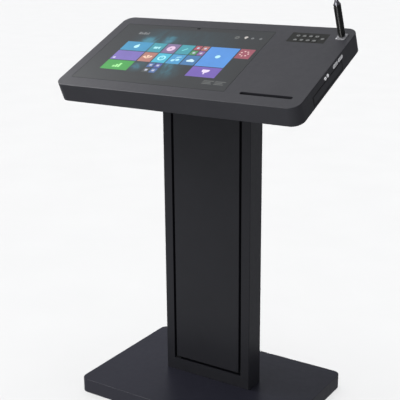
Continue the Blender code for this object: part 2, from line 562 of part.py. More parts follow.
def microphone(head):
    socket = block("mic_socket", span(MIC_X, FLANGE_W), span(MIC_Y, FLANGE_D),
                   (GAP, GAP + FLANGE_T), head, steel(), FLANGE_R)
    join(socket, rod("mic_barrel", BARREL_D, (MIC_X, MIC_Y, -BARREL_DEEP),
                     (MIC_X, MIC_Y, GAP + FLANGE_T / 2), head))
    cut(socket, rod("mic_bore", BORE_D, (MIC_X, MIC_Y, -BORE_DEEP), (MIC_X, MIC_Y, 10), head))
    black = material("mic_black", (0.01, 0.011, 0.012), 0.3, 0.3)
    n, r = NECK_D / 2, MIC_D / 2
    base = dome(n, PIVOT_1) + [
        (n, CONE_TOP), (CONE_D / 2, RING_TOP), (RING_D / 2, RING_TOP), (RING_D / 2, MIC_TOP),
        (r - MIC_CHAMFER, MIC_TOP), (r, MIC_TOP - MIC_CHAMFER), (r, TAPER_TOP),
        (FOOT_D / 2, FOOT_Z), (NOSE_D / 2, FOOT_Z), (NOSE_D / 2, -NOSE_DEEP), (0, -NOSE_DEEP)]
    turned("mic_base", base, (MIC_X, MIC_Y, 0), head, black)
    length = PIVOT_2 - PIVOT_1
    middle = dome(n, length) + [(n, PIVOT_STEP), (0, PIVOT_STEP)]
    turned("neck_middle", middle, (MIC_X, MIC_Y, PIVOT_1), head, black, 16)
    c, z0, z1 = CAPSULE_D / 2, CAPSULE_Z0 - PIVOT_2, CAPSULE_Z1 - PIVOT_2
    capsule = [(0, z1), (c, z1), (c, z0), (n, z0 - 8), (n, PIVOT_STEP), (0, PIVOT_STEP)]
    turned("mic_capsule", capsule, (MIC_X, MIC_Y, PIVOT_2), head, black, 16)
    f, f0, f1 = FOAM_D / 2, FOAM_Z0 - PIVOT_2, FOAM_Z1 - PIVOT_2
    foam = dome(f, f1 - f) + [(f, f0 + 6), (f * 0.75, f0), (c + FOAM_BORE, f0),
                              (c + FOAM_BORE, z1 + FOAM_BORE), (0, z1 + FOAM_BORE)]
    turned("windscreen", foam, (MIC_X, MIC_Y, PIVOT_2), head,
           material("foam", (0.012, 0.012, 0.012), 0.95), 16)


def main():
    clear_scene()
    bpy.context.scene.unit_settings.system = "METRIC"
    head = empty("head_frame", (0, HEAD_Y, HEAD_Z), HEAD_TILT)
    base_cover()
    ballast()
    spigot()
    column_shell(head)
    door_frame()
    service_door()
    vent_grille()
    equipment()
    mains_inlet()
    head_bracket(head)
    head_shell(head)
    display(head)
    keypad(head)
    slot_liner(head)
    side_sockets(head)
    drawer(head)
    microphone(head)


main()
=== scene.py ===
"""Looks of the digital touch lectern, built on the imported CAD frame. Metres, +Z up."""

import json
from math import cos, pi, radians, sin

import bmesh
import bpy
from mathutils import Matrix, Vector

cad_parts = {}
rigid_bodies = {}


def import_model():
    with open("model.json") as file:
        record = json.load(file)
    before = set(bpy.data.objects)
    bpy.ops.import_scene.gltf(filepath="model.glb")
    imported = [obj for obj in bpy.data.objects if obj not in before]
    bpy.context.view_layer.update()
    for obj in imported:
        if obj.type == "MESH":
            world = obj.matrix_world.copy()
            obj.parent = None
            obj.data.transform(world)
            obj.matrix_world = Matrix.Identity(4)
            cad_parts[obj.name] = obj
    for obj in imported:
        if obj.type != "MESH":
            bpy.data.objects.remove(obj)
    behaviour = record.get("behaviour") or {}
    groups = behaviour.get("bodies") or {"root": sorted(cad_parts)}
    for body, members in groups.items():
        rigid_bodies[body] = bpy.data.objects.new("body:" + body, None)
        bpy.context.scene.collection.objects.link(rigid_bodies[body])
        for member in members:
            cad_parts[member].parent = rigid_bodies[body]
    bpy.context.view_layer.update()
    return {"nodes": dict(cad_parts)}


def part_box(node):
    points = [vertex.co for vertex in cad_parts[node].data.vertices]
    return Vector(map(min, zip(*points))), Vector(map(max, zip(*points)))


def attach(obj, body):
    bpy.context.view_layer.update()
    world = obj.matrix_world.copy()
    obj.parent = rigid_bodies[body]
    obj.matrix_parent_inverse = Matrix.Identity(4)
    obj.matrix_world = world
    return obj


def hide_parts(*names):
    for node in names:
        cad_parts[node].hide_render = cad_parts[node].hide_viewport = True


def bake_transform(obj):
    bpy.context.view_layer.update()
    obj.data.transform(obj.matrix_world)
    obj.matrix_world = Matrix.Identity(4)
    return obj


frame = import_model()
NODES = frame["nodes"]

MM = 0.001
TILT = radians(24)
# the head's frame: its origin is the middle of the top face, X to the right, Y up the slope
HEAD = Matrix.Translation((0, -0.0425, 1.042)) @ Matrix.Rotation(TILT, 4, "X")
WORLD = Matrix.Identity(4)
SHARP = radians(35)         # edges that turn by more than this stay sharp in the shading

# outer sizes of the sheet-metal parts, in mm: the base and column in the world, the head in its own frame
WALL = 2.0
BASE_X, BASE_Y, BASE_Z = (-337.5, 337.5), (-230, 230), (1, 45)
COLUMN_X, COLUMN_Y = (-149, 149), (-24, 44)
HEAD_X, HEAD_Y, HEAD_Z = (-390, 390), (-197.5, 197.5), (-56, 0)


# ---- node helpers ----------------------------------------------------------------------------

def new_material(name):
    made = bpy.data.materials.new(name)
    made.use_nodes = True
    tree = made.node_tree
    return made, tree, tree.nodes["Principled BSDF"]


def add(tree, kind, **values):
    node = tree.nodes.new(kind)
    for key, value in values.items():
        if hasattr(node, key):
            setattr(node, key, value)
        else:
            node.inputs[key.replace("_", " ")].default_value = value
    return node


def ramp(tree, source, stops):
    node = tree.nodes.new("ShaderNodeValToRGB")
    tree.links.new(source, node.inputs["Fac"])
    ends = node.color_ramp.elements
    while len(ends) < len(stops):
        ends.new(0.5)
    for end, (place, color) in zip(ends, stops):
        end.position = place
        end.color = (*color, 1.0) if len(color) == 3 else color
    return node.outputs["Color"]


def coords(tree, scale=(1, 1, 1), uv=False):
    source = add(tree, "ShaderNodeTexCoord")
    mapping = add(tree, "ShaderNodeMapping")
    mapping.inputs["Scale"].default_value = scale
    tree.links.new(source.outputs["UV" if uv else "Object"], mapping.inputs["Vector"])
    return mapping.outputs["Vector"]


def noise(tree, vector, scale, detail=3.0, rough=0.5):
    node = add(tree, "ShaderNodeTexNoise", Scale=scale, Detail=detail, Roughness=rough)
    tree.links.new(vector, node.inputs["Vector"])
    return node.outputs["Fac"]


def bump(tree, shader, height, distance, strength=1.0):
    node = add(tree, "ShaderNodeBump", Strength=strength, Distance=distance)
    tree.links.new(height, node.inputs["Height"])
    tree.links.new(node.outputs["Normal"], shader.inputs["Normal"])


def shade(color, factor):
    return tuple(min(1.0, c * factor) for c in color)


def coated(name, color, rough, grain, depth, spread=0.06, metallic=0.0):
    """Powder-coated or moulded surface: fine grain, slow colour drift and uneven sheen."""
    made, tree, shader = new_material(name)
    vector = coords(tree)
    slow = noise(tree, vector, 9.0, 4.0)
    tree.links.new(ramp(tree, slow, [(0.3, shade(color, 1 - spread)), (0.7, shade(color, 1 + spread))]),
                   shader.inputs["Base Color"])
    fine = noise(tree, vector, grain, 2.0)
    sheen = ramp(tree, noise(tree, vector, 60.0, 3.0),
                 [(0.3, (rough - 0.04,) * 3), (0.7, (rough + 0.04,) * 3)])
    tree.links.new(sheen, shader.inputs["Roughness"])
    shader.inputs["Metallic"].default_value = metallic
    bump(tree, shader, fine, depth)
    return made


def metal(name, color, rough=0.3, brushed=(40, 40, 900)):
    """Plated or brushed metal, with hairlines across the last axis of its scale."""
    made, tree, shader = new_material(name)
    vector = coords(tree, brushed)
    lines = noise(tree, vector, 3.0, 2.0)
    tree.links.new(ramp(tree, lines, [(0.3, shade(color, 0.88)), (0.7, shade(color, 1.08))]),
                   shader.inputs["Base Color"])
    tree.links.new(ramp(tree, lines, [(0.3, (rough - 0.07,) * 3), (0.7, (rough + 0.08,) * 3)]),
                   shader.inputs["Roughness"])
    shader.inputs["Metallic"].default_value = 1.0
    bump(tree, shader, lines, 0.00002)
    return made


# the display's cover glass, which every lit patch is seen through
GLASS = (0.047, 0.050, 0.053, 1)
GLASS_SPECULAR = 0.6
GLASS_ROUGH = 0.42


def etched(tree, shader, vector):
    """The fine etched surface of the cover glass."""
    shader.inputs["Base Color"].default_value = GLASS
    shader.inputs["Specular IOR Level"].default_value = GLASS_SPECULAR
    fine = noise(tree, vector, 2600.0, 1.0)
    rough = [(0.3, (GLASS_ROUGH - 0.03,) * 3), (0.7, (GLASS_ROUGH + 0.03,) * 3)]
    tree.links.new(ramp(tree, fine, rough), shader.inputs["Roughness"])
    bump(tree, shader, fine, 0.00001)


def lit(name, color, strength=1.0):
    """A lit patch of the display behind its anti-glare glass, a little uneven."""
    made, tree, shader = new_material(name)
    vector = coords(tree)
    glow = ramp(tree, noise(tree, vector, 30.0, 2.0),
                [(0.3, shade(color, 0.94)), (0.7, shade(color, 1.05))])
    tree.links.new(glow, shader.inputs["Emission Color"])
    shader.inputs["Emission Strength"].default_value = strength
    etched(tree, shader, vector)
    return made


def glass_material():
    made, tree, shader = new_material("cover_glass")
    etched(tree, shader, coords(tree))
    return made


# ---- materials -------------------------------------------------------------------------------
# coated: colour, roughness, grains per metre, depth of the grain in metres, spread, metallic
# metal: colour, roughness, hairline scale

COAT = coated("powder_coat_grey", (0.062, 0.062, 0.071), 0.46, 1500.0, 0.00007)
# painted shade: the same grey coat made darker for the column, its door and the door's frame
COAT_PAINTED_SHADE = coated("powder_coat_painted_shade", (0.0345, 0.035, 0.044), 0.38, 1500.0, 0.00006)
# painted shade: the same grey coat made darker, and a little bluer, for the base
COAT_BASE_PAINTED_SHADE = coated("powder_coat_base_painted_shade", (0.0235, 0.0235, 0.037), 0.36, 1500.0, 0.00005)
BLACK = coated("black_coat", (0.008, 0.008, 0.009), 0.55, 1800.0, 0.00005)
PLASTIC = coated("black_plastic", (0.016, 0.016, 0.018), 0.42, 2600.0, 0.00003)
MEMBRANE = coated("keypad_membrane", (0.017, 0.018, 0.016), 0.5, 3200.0, 0.00002)
KEYTOP = coated("keytop", (0.028, 0.029, 0.027), 0.45, 3200.0, 0.00002)
LINING = coated("slot_lining", (0.030, 0.030, 0.037), 0.5, 2600.0, 0.00003)
LEGEND = coated("legend_print", (0.26, 0.265, 0.26), 0.55, 2600.0, 0.00001, 0.03)
PRINT = coated("white_print", (0.5, 0.5, 0.5), 0.6, 2600.0, 0.00001, 0.03)
PRINT_DARK = coated("sensor_print", (0.006, 0.006, 0.008), 0.25, 2600.0, 0.00001, 0.03)
RUBBER = coated("pad_rubber", (0.012, 0.012, 0.012), 0.8, 900.0, 0.0001)
BOARD = coated("circuit_board", (0.012, 0.075, 0.030), 0.35, 500.0, 0.00005)
COVER_GLASS = glass_material()
STEEL = metal("satin_steel", (0.52, 0.52, 0.54), 0.33)
BRIGHT = metal("bright_nickel", (0.78, 0.78, 0.80), 0.22, (300, 300, 300))
CONNECTOR = coated("satin_nickel", (0.80, 0.80, 0.82), 0.3, 2600.0, 0.00001, 0.04, 0.35)
PORT = coated("port_shell", (0.60, 0.60, 0.62), 0.32, 2600.0, 0.00001, 0.04, 0.35)
FLANGE = coated("flange_nickel", (0.47, 0.47, 0.49), 0.3, 2600.0, 0.00001, 0.04, 0.35)
TONGUE = coated("port_tongue", (0.55, 0.55, 0.54), 0.45, 2600.0, 0.00001, 0.03)
MIC_BLACK = coated("mic_satin_black", (0.0025, 0.0027, 0.0025), 0.27, 3000.0, 0.00001)
MIC_GREY = coated("mic_grey_cone", (0.21, 0.21, 0.23), 0.25, 3000.0, 0.00001, 0.04, 0.95)
NECK = coated("gooseneck_black", (0.020, 0.020, 0.022), 0.34, 3000.0, 0.00001)
FOAM = coated("open_cell_foam", (0.014, 0.014, 0.015), 0.95, 1100.0, 0.0009, 0.2)


# glows of the wallpaper: middle in the head's frame in mm, reach in mm, strength
GLOWS = [((-156, 77), 36, 0.85), ((-224, 51), 54, 1.3), ((-190, 62), 125, 0.55), ((-176, -70), 44, 0.8),
         ((-66, -88), 62, 0.75), ((-78, -50), 32, 0.75), ((-60, 50), 190, 0.28)]


def glow(tree, vector, middle, reach, strength):
    """A soft round glow, which falls to nothing at its reach."""
    away = add(tree, "ShaderNodeVectorMath", operation="DISTANCE")
    tree.links.new(vector, away.inputs[0])
    away.inputs[1].default_value = (middle[0] * MM, middle[1] * MM, 0)
    fade = add(tree, "ShaderNodeMapRange", interpolation_type="SMOOTHERSTEP")
    limits = {"From Min": reach * MM, "From Max": 0.0, "To Min": 0.0, "To Max": strength}
    for key, value in limits.items():
        fade.inputs[key].default_value = value
    tree.links.new(away.outputs["Value"], fade.inputs["Value"])
    return fade.outputs["Result"]


def combine(tree, operation, a, b):
    """Adds or multiplies two values."""
    node = add(tree, "ShaderNodeMath", operation=operation)
    tree.links.new(a, node.inputs[0])
    tree.links.new(b, node.inputs[1])
    return node.outputs["Value"]


def screen_material():
    """Wallpaper of the display: near-black, with soft teal smoke."""
    made, tree, shader = new_material("screen_wallpaper")
    vector = coords(tree, uv=True)
    stretch = add(tree, "ShaderNodeMapping")
    stretch.inputs["Scale"].default_value = (1.0, 0.45, 1.0)
    stretch.inputs["Rotation"].default_value = (0, 0, radians(-25))
    tree.links.new(vector, stretch.inputs["Vector"])
    smoke = add(tree, "ShaderNodeTexNoise", Scale=26.0, Detail=5.0, Roughness=0.55, Distortion=1.6)
    tree.links.new(stretch.outputs["Vector"], smoke.inputs["Vector"])
    total = None
    for middle, reach, strength in GLOWS:
        new = glow(tree, vector, middle, reach, strength)
        total = new if total is None else combine(tree, "ADD", total, new)
    streak = ramp(tree, smoke.outputs["Fac"], [(0.30, (0.28,) * 3), (0.72, (1.0,) * 3)])
    amount = combine(tree, "MULTIPLY", total, streak)
    color = ramp(tree, amount,
                 [(0.0, (0.001, 0.0015, 0.002)), (0.35, (0.006, 0.040, 0.055)), (1.0, (0.03, 0.20, 0.28))])
    tree.links.new(color, shader.inputs["Emission Color"])
    shader.inputs["Emission Strength"].default_value = 1.0
    etched(tree, shader, coords(tree))
    return made


# ---- mesh helpers ----------------------------------------------------------------------------

def finish(bm, name, material, body=None, at=WORLD):
    """The mesh as an object in world coordinates, smooth-shaded, riding on its body."""
    bmesh.ops.remove_doubles(bm, verts=bm.verts, dist=1e-7)
    bmesh.ops.recalc_face_normals(bm, faces=bm.faces)
    mesh = bpy.data.meshes.new(name)
    bm.to_mesh(mesh)
    bm.free()
    mesh.transform(at)
    if material:
        mesh.materials.append(material)
    made = bpy.data.objects.new(name, mesh)
    bpy.context.scene.collection.objects.link(made)
    even_normals(made)
    if body:
        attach(made, body)
    return made


def fit(made, body, node=None):
    """Makes a piece ride on a body, in place of a CAD node where one is named."""
    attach(made, body)
    if node:
        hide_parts(node)


def box(bm, x, y, z, corner=0.0, edge=0.0, steps=10, rim=3, both=True, axis="Z"):
    """Adds a box between limits in mm: corner rounds its edges along axis, edge the rims of its ends."""
    size = Vector([b - a for a, b in (x, y, z)]) * MM
    middle = Vector([(a + b) / 2 for a, b in (x, y, z)]) * MM
    part = bmesh.new()
    bmesh.ops.create_cube(part, size=1.0)
    bmesh.ops.scale(part, vec=size, verts=part.verts)
    i = "XYZ".index(axis)
    if corner:
        along = [e for e in part.edges if abs(e.verts[0].co[i] - e.verts[1].co[i]) > 1e-6]
        bmesh.ops.bevel(part, geom=along, offset=corner * MM, segments=steps, profile=0.5,
                        affect="EDGES")
    if edge:
        end = size[i] / 2 - 1e-6
        sides = (1, -1) if both else (1,)
        rims = [e for e in part.edges
                if any(all(v.co[i] * s > end for v in e.verts) for s in sides)
                and e.calc_face_angle(0) > 0.5]
        bmesh.ops.bevel(part, geom=rims, offset=edge * MM, segments=rim, profile=0.5,
                        affect="EDGES")
    bmesh.ops.translate(part, vec=middle, verts=part.verts)
    merge(bm, part)


def merge(bm, part):
    mesh = bpy.data.meshes.new("part")
    part.to_mesh(mesh)
    part.free()
    bm.from_mesh(mesh)
    bpy.data.meshes.remove(mesh)


def span(middle, size):
    """Limits from a middle and a size."""
    return middle - size / 2, middle + size / 2


def inset(limits, by):
    """Limits drawn in by a distance at each end."""
    return limits[0] + by, limits[1] - by


def lathe(bm, profile, origin, steps=48, axis="Z"):
    """Adds a turned solid, whose (radius, height) pairs in mm run from the top down."""
    turn = {"Z": Matrix.Identity(4), "X": Matrix.Rotation(pi / 2, 4, "Y"),
            "Y": Matrix.Rotation(-pi / 2, 4, "X")}[axis]
    place = Matrix.Translation(Vector(origin) * MM) @ turn
    angles = [2 * pi * i / steps for i in range(steps)]
    rings = []
    for r, h in profile:
        round_it = angles if r > 1e-6 else angles[:1]
        points = [Vector((r * cos(a) * MM, r * sin(a) * MM, h * MM)) for a in round_it]
        rings.append([bm.verts.new(place @ point) for point in points])
    for upper, lower in zip(rings, rings[1:]):
        for i in range(steps):
            j = (i + 1) % steps
            corners = [upper[i % len(upper)], upper[j % len(upper)], lower[j % len(lower)],
                       lower[i % len(lower)]]
            face = list(dict.fromkeys(corners))
            if len(face) > 2:
                bm.faces.new(face)


def apply_modifiers(obj):
    """Makes the shape that the modifiers give the object's own mesh."""
    graph = bpy.context.evaluated_depsgraph_get()
    mesh = bpy.data.meshes.new_from_object(obj.evaluated_get(graph))
    obj.modifiers.clear()
    old, obj.data = obj.data, mesh
    bpy.data.meshes.remove(old)


def carve(obj, tools, operation="DIFFERENCE"):
    """Cuts closed meshes out of obj for good, or joins them to it, and deletes them."""
    for piece in tools:
        modifier = obj.modifiers.new("cut", "BOOLEAN")
        modifier.operation = operation
        modifier.solver = "EXACT"
        modifier.object = piece
    apply_modifiers(obj)
    for piece in tools:
        bpy.data.objects.remove(piece, do_unlink=True)
    even_normals(obj)


def even_normals(obj):
    """Keeps large faces flat in shading where rounded rims meet them."""
    obj.data.shade_smooth()
    obj.data.set_sharp_from_angle(angle=SHARP)
    modifier = obj.modifiers.new("normals", "WEIGHTED_NORMAL")
    modifier.keep_sharp = True
    modifier.weight = 100
    apply_modifiers(obj)


def block(name, x, y, z, material=None, body=None, at=WORLD, **rounding):
    bm = bmesh.new()
    box(bm, x, y, z, **rounding)
    return finish(bm, name, material, body, at)


def solid(name, profile, origin, material=None, body=None, at=WORLD, steps=48, axis="Z"):
    bm = bmesh.new()
    lathe(bm, profile, origin, steps, axis)
    return finish(bm, name, material, body, at)


def rod(radius, x, y, z0, z1, at=WORLD):
    """A plain rod along Z that carve uses up."""
    return solid("rod", [(0, z1), (radius, z1), (radius, z0), (0, z0)], (x, y, 0), at=at)


def tool(x, y, z, at=WORLD, **rounding):
    """A box that carve uses up."""
    return block("tool", x, y, z, at=at, **rounding)


# ---- camera, light, floor --------------------------------------------------------------------

CAMERA_AT = (1.3618, -2.1533, 1.3717)
YAW, PITCH, ROLL = 0.5759, 0.2881, -0.0083
LENS, SENSOR = 80.96, 36.0
SKY, AMBIENT = (0.93, 0.95, 1.0, 1), 0.20
BACKGROUND = (0.93, 0.93, 0.935, 1)
FLOOR_WHITE = (0.66, 0.66, 0.66)

# the groups of pieces that lamps can be linked to
LIT = {name: bpy.data.collections.new("lit_" + name)
       for name in ("lectern", "head_and_base", "floor", "microphone", "sockets", "base", "column",
                    "right")}


def camera():
    data = bpy.data.cameras.new("camera")
    data.sensor_width, data.lens = SENSOR, LENS
    made = bpy.data.objects.new("camera", data)
    bpy.context.scene.collection.objects.link(made)
    ahead = Vector((-sin(YAW) * cos(PITCH), cos(YAW) * cos(PITCH), -sin(PITCH)))
    right = ahead.cross(Vector((0, 0, 1))).normalized()
    up = right.cross(ahead)
    x = cos(ROLL) * right + sin(ROLL) * up
    y = -sin(ROLL) * right + cos(ROLL) * up
    turn = Matrix((x, y, -ahead)).transposed().to_4x4()
    made.matrix_world = Matrix.Translation(CAMERA_AT) @ turn
    bpy.context.scene.camera = made


def lamp(name, kind, strength, receivers=None, **values):
    """A lamp, lighting only the objects of a group where one is named."""
    data = bpy.data.lights.new(name, kind)
    data.energy = strength
    for key, value in values.items():
        setattr(data, key, value)
    made = bpy.data.objects.new(name, data)
    bpy.context.scene.collection.objects.link(made)
    if receivers:
        made.light_linking.receiver_collection = LIT[receivers]
    return made


def aim(made, toward):
    """Turns a lamp so that its light comes from the direction toward."""
    made.rotation_euler = Vector(toward).to_track_quat("Z", "Y").to_euler()


def sun(name, strength, toward, receivers=None, **values):
    made = lamp(name, "SUN", strength, receivers, **values)
    aim(made, toward)
    return made


def panel(name, strength, at, target, receivers, **values):
    """A soft lamp at a place, turned to a target."""
    made = lamp(name, "AREA", strength, receivers, **values)
    made.location = at
    aim(made, made.location - Vector(target))
    return made


def lamps():
    """Each lamp has its strength; then a sun has a direction, and a panel a place and a target."""
    sun("key", 0.42, (-0.25, 0.10, 1.0), angle=radians(50))
    sun("front_fill", 1.6, (-0.3, -1.0, 0.15), "head_and_base", angle=radians(50))
    sun("floor_light", 3.6, (-0.15, 0.1, 1.0), "floor", angle=radians(70), use_shadow=False)
    for name, strength, at, receivers, size in (
            ("bounce_front", 2.8, (-0.55, -1.15, -0.09), "column", 2.6),
            ("bounce_right", 0.8, (1.25, 0.85, 0.03), "right", 1.5)):
        bounce = panel(name, strength, at, (0, 0, 0.45), receivers, shape="RECTANGLE", size=size,
                       size_y=1.5)
        bounce.light_linking.blocker_collection = LIT["lectern"]
    panel("strip", 7.5, (0.39, -0.69, 0.29), HEAD @ Vector((0.36, 0.149, 0.06)), "microphone",
          shape="RECTANGLE", size=0.12, size_y=0.9, use_shadow=False)
    sun("side_fill", 2.6, (1.0, -0.7, 0.45), "sockets", angle=radians(40))
    rear = sun("rear_fill", 1.6, (-0.5, 1.0, -0.2), "lectern", angle=radians(12))
    rear.light_linking.blocker_collection = LIT["lectern"]
    panel("back_card", 3.3, (-1.6, 2.3, 1.0), (0, 0, 0.2), "base", shape="RECTANGLE", size=3.6,
          size_y=2.0, color=(0.84, 0.87, 1.0))
    panel("softbox", 21.0, (-1.35, -0.45, 1.95), (-0.25, -0.1, 1.0), "lectern", size=1.0)


def groups(name):
    """The groups of LIT that a piece belongs to."""
    if name == "studio_floor":
        return ["floor"]
    found = ["lectern"]
    if name.startswith(("mic_", "neck_")):
        found.append("microphone")
    if name.startswith(("port_", "jack_")):
        found.append("sockets")
    if name == "base_skin":
        found += ["base", "column"]
    if name in ("base_skin", "column_skin"):
        found.append("right")
    on_column = name.startswith(("column", "door", "service", "vent", "rear", "pc_"))
    found.append("column" if on_column else "head_and_base")
    return found


def link_lights():
    for piece in bpy.context.scene.objects:
        if piece.type == "MESH":
            for group in groups(piece.name):
                LIT[group].objects.link(piece)


def backdrop():
    """A plain light background for the camera, and a dimmer sky that lights the lectern."""
    scene = bpy.context.scene
    scene.view_settings.view_transform = "Standard"
    world = bpy.data.worlds.new("studio")
    world.use_nodes = True
    scene.world = world
    tree = world.node_tree
    ground = tree.nodes["Background"]
    ground.inputs["Color"].default_value = BACKGROUND
    ground.inputs["Strength"].default_value = 1.0
    dim = add(tree, "ShaderNodeBackground", Color=SKY, Strength=AMBIENT)
    path = add(tree, "ShaderNodeLightPath")
    mix = add(tree, "ShaderNodeMixShader")
    tree.links.new(path.outputs["Is Camera Ray"], mix.inputs["Fac"])
    tree.links.new(dim.outputs[0], mix.inputs[1])
    tree.links.new(ground.outputs[0], mix.inputs[2])
    tree.links.new(mix.outputs[0], tree.nodes["World Output"].inputs["Surface"])


def studio_floor():
    material, tree, shader = new_material("floor_white")
    shader.inputs["Roughness"].default_value = 0.9
    shader.inputs["Specular IOR Level"].default_value = 0.1
    slow = noise(tree, coords(tree), 3.0)
    tree.links.new(ramp(tree, slow, [(0.3, shade(FLOOR_WHITE, 0.99)), (0.7, shade(FLOOR_WHITE, 1.01))]),
                   shader.inputs["Base Color"])
    bm = bmesh.new()
    bmesh.ops.create_grid(bm, x_segments=8, y_segments=8, size=30.0)
    ground = finish(bm, "studio_floor", material)
    ground.visible_diffuse = ground.visible_glossy = False


# ---- base and column -------------------------------------------------------------------------

DOOR_X, DOOR_Z = (-112.4, 112.4), (92.5, 898)
FRAME = 8.0                 # width of the frame round the door
INLET_X = 95


def base():
    skin = block("base_skin", BASE_X, BASE_Y, BASE_Z, COAT_BASE_PAINTED_SHADE, corner=25, edge=0.8, steps=14)
    inside = tool(inset(BASE_X, WALL), inset(BASE_Y, WALL), (-5, BASE_Z[1] - WALL), corner=23, steps=14)
    hole = tool(inset(COLUMN_X, 5), inset(COLUMN_Y, 5), (35, 60))
    carve(skin, [inside, hole])
    fit(skin, "stand", "base_cover")


def column():
    skin = block("column_skin", COLUMN_X, COLUMN_Y, (45.3, 1042), COAT_PAINTED_SHADE, corner=1.6, steps=4)
    inside = tool(inset(COLUMN_X, WALL), inset(COLUMN_Y, WALL), (40, 1142))
    opening = tool(inset(DOOR_X, -FRAME), (-30, -19), inset(DOOR_Z, -FRAME))
    vent = tool((-90, 90), (35, 50), (560, 820))
    inlet = tool(span(INLET_X, 48.6), (35, 50), (120.7, 179.3))
    above = tool(HEAD_X, (-200, 200), (HEAD_Z[0] - 0.3, 300), at=HEAD)
    carve(skin, [inside, opening, vent, inlet, above])
    fit(skin, "stand", "column_shell")


def door():
    skin = block("door_skin", DOOR_X, (-24, -12), DOOR_Z, COAT_PAINTED_SHADE, corner=1.2, edge=1.0, steps=3)
    hollow = tool(inset(DOOR_X, 2.5), (-21.5, -5), inset(DOOR_Z, 2.5))
    pin_bore = rod(2.8, -106.4, -18, 80, 910)
    carve(skin, [hollow, pin_bore])
    strike = tool((90, 104), (-22.5, -9.7), (482, 518), edge=0.6)
    carve(skin, [strike], "UNION")
    fit(skin, "door", "service_door")


def screw_head(bm, x, y, z, radius, axis):
    """A low domed screw head with a socket."""
    profile = [(0, 0.10), (0.42, 0.10), (0.46, 0.42), (0.72, 0.36), (0.95, 0.15), (1, 0), (0, 0)]
    lathe(bm, [(radius * r, radius * h) for r, h in profile], (x, y, z), 20, axis)


def column_details():
    bm = bmesh.new()
    for x in (-96, 96):                                         # vent
        for z in (554, 826):
            screw_head(bm, x, 46.3, z, 2.8, "Y")
    for z in (120.2, 179.8):                                    # mains inlet
        screw_head(bm, INLET_X, 46.5, z, 1.9, "Y")
    for x in (-136, 136):                                       # column
        for z in (70, 300, 620, 940):
            screw_head(bm, x, COLUMN_Y[1], z, 3.2, "Y")
    finish(bm, "rear_screws", STEEL, "stand")
    bm = bmesh.new()
    for x, z in ((-4.0, 136.8), (0.0, 139.6), (4.0, 136.8)):
        box(bm, span(INLET_X + x, 1.2), (32.5, 42.0), span(z, 3.4), edge=0.3, axis="Y")
    finish(bm, "inlet_pins", BRIGHT, "stand")
    bm = bmesh.new()
    box(bm, span(INLET_X, 0.7), (47.5, 47.6), span(169.2, 3.2))
    finish(bm, "rocker_mark_on", PRINT, "rocker")
    bm = bmesh.new()
    ring = [(1.7, 0.1), (1.7, 0), (1.15, 0), (1.15, 0.1), (1.7, 0.1)]
    lathe(bm, ring, (INLET_X, 47.5, 162.6), 24, "Y")
    finish(bm, "rocker_mark_off", PRINT, "rocker")


def pc_details():
    """Louvres, ports and power light on the front of the computer."""
    low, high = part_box("media_pc")
    x0, x1, front = low.x / MM, high.x / MM, low.y / MM
    z0, z1 = low.z / MM, high.z / MM
    bm = bmesh.new()
    for i in range(9):
        box(bm, (x0 + 24, x1 - 24), (front - 0.6, front), span(z1 - 34 - 8 * i, 3.0), edge=0.3, axis="Y")
    finish(bm, "pc_louvres", BLACK, "stand")
    bm = bmesh.new()
    for i in range(3):
        box(bm, span(x0 + 40 + 34 * i, 15), (front - 0.8, front), span(z0 + 26, 6.2), corner=1.0,
            steps=3, axis="Y")
    finish(bm, "pc_ports", STEEL, "stand")
    lens = [(0, 0.9), (1.6, 0.9), (2.0, 0.5), (2.0, 0), (0, 0)]
    light = solid("pc_power_light", lens, (x1 - 26, front - 0.9, z0 + 26),
                  lit("power_light", (0.1, 0.7, 0.2), 1.2), "stand", steps=20, axis="Y")


# ---- head ------------------------------------------------------------------------------------

# places on the head, in its own frame in mm
MIC_X, MIC_Y = 360.0, 149.2
SLOT = (205.6, 356.8), (-158.4, -146.7)
GLASS_X, GLASS_Y = (-355.5, 158.5), (-154, 156)
PORTS = [("port_a", "port_rear", 62.5), ("port_b", "port_front", 30)]
JACKS = [("jack_a", "jack_rear", -20.3), ("jack_b", "jack_front", -34.8)]
JACK_Z = -13.5
TOP_CUT = (-6, 5)           # z-limits of a cut through the top
SIDE_CUT = (385, 395)       # x-limits of a cut through the right edge


def pane(gap, corner):
    """A tool of the shape of the cover glass, with a gap all round it."""
    return tool(inset(GLASS_X, -gap), inset(GLASS_Y, -gap), TOP_CUT, at=HEAD, corner=corner, steps=5)


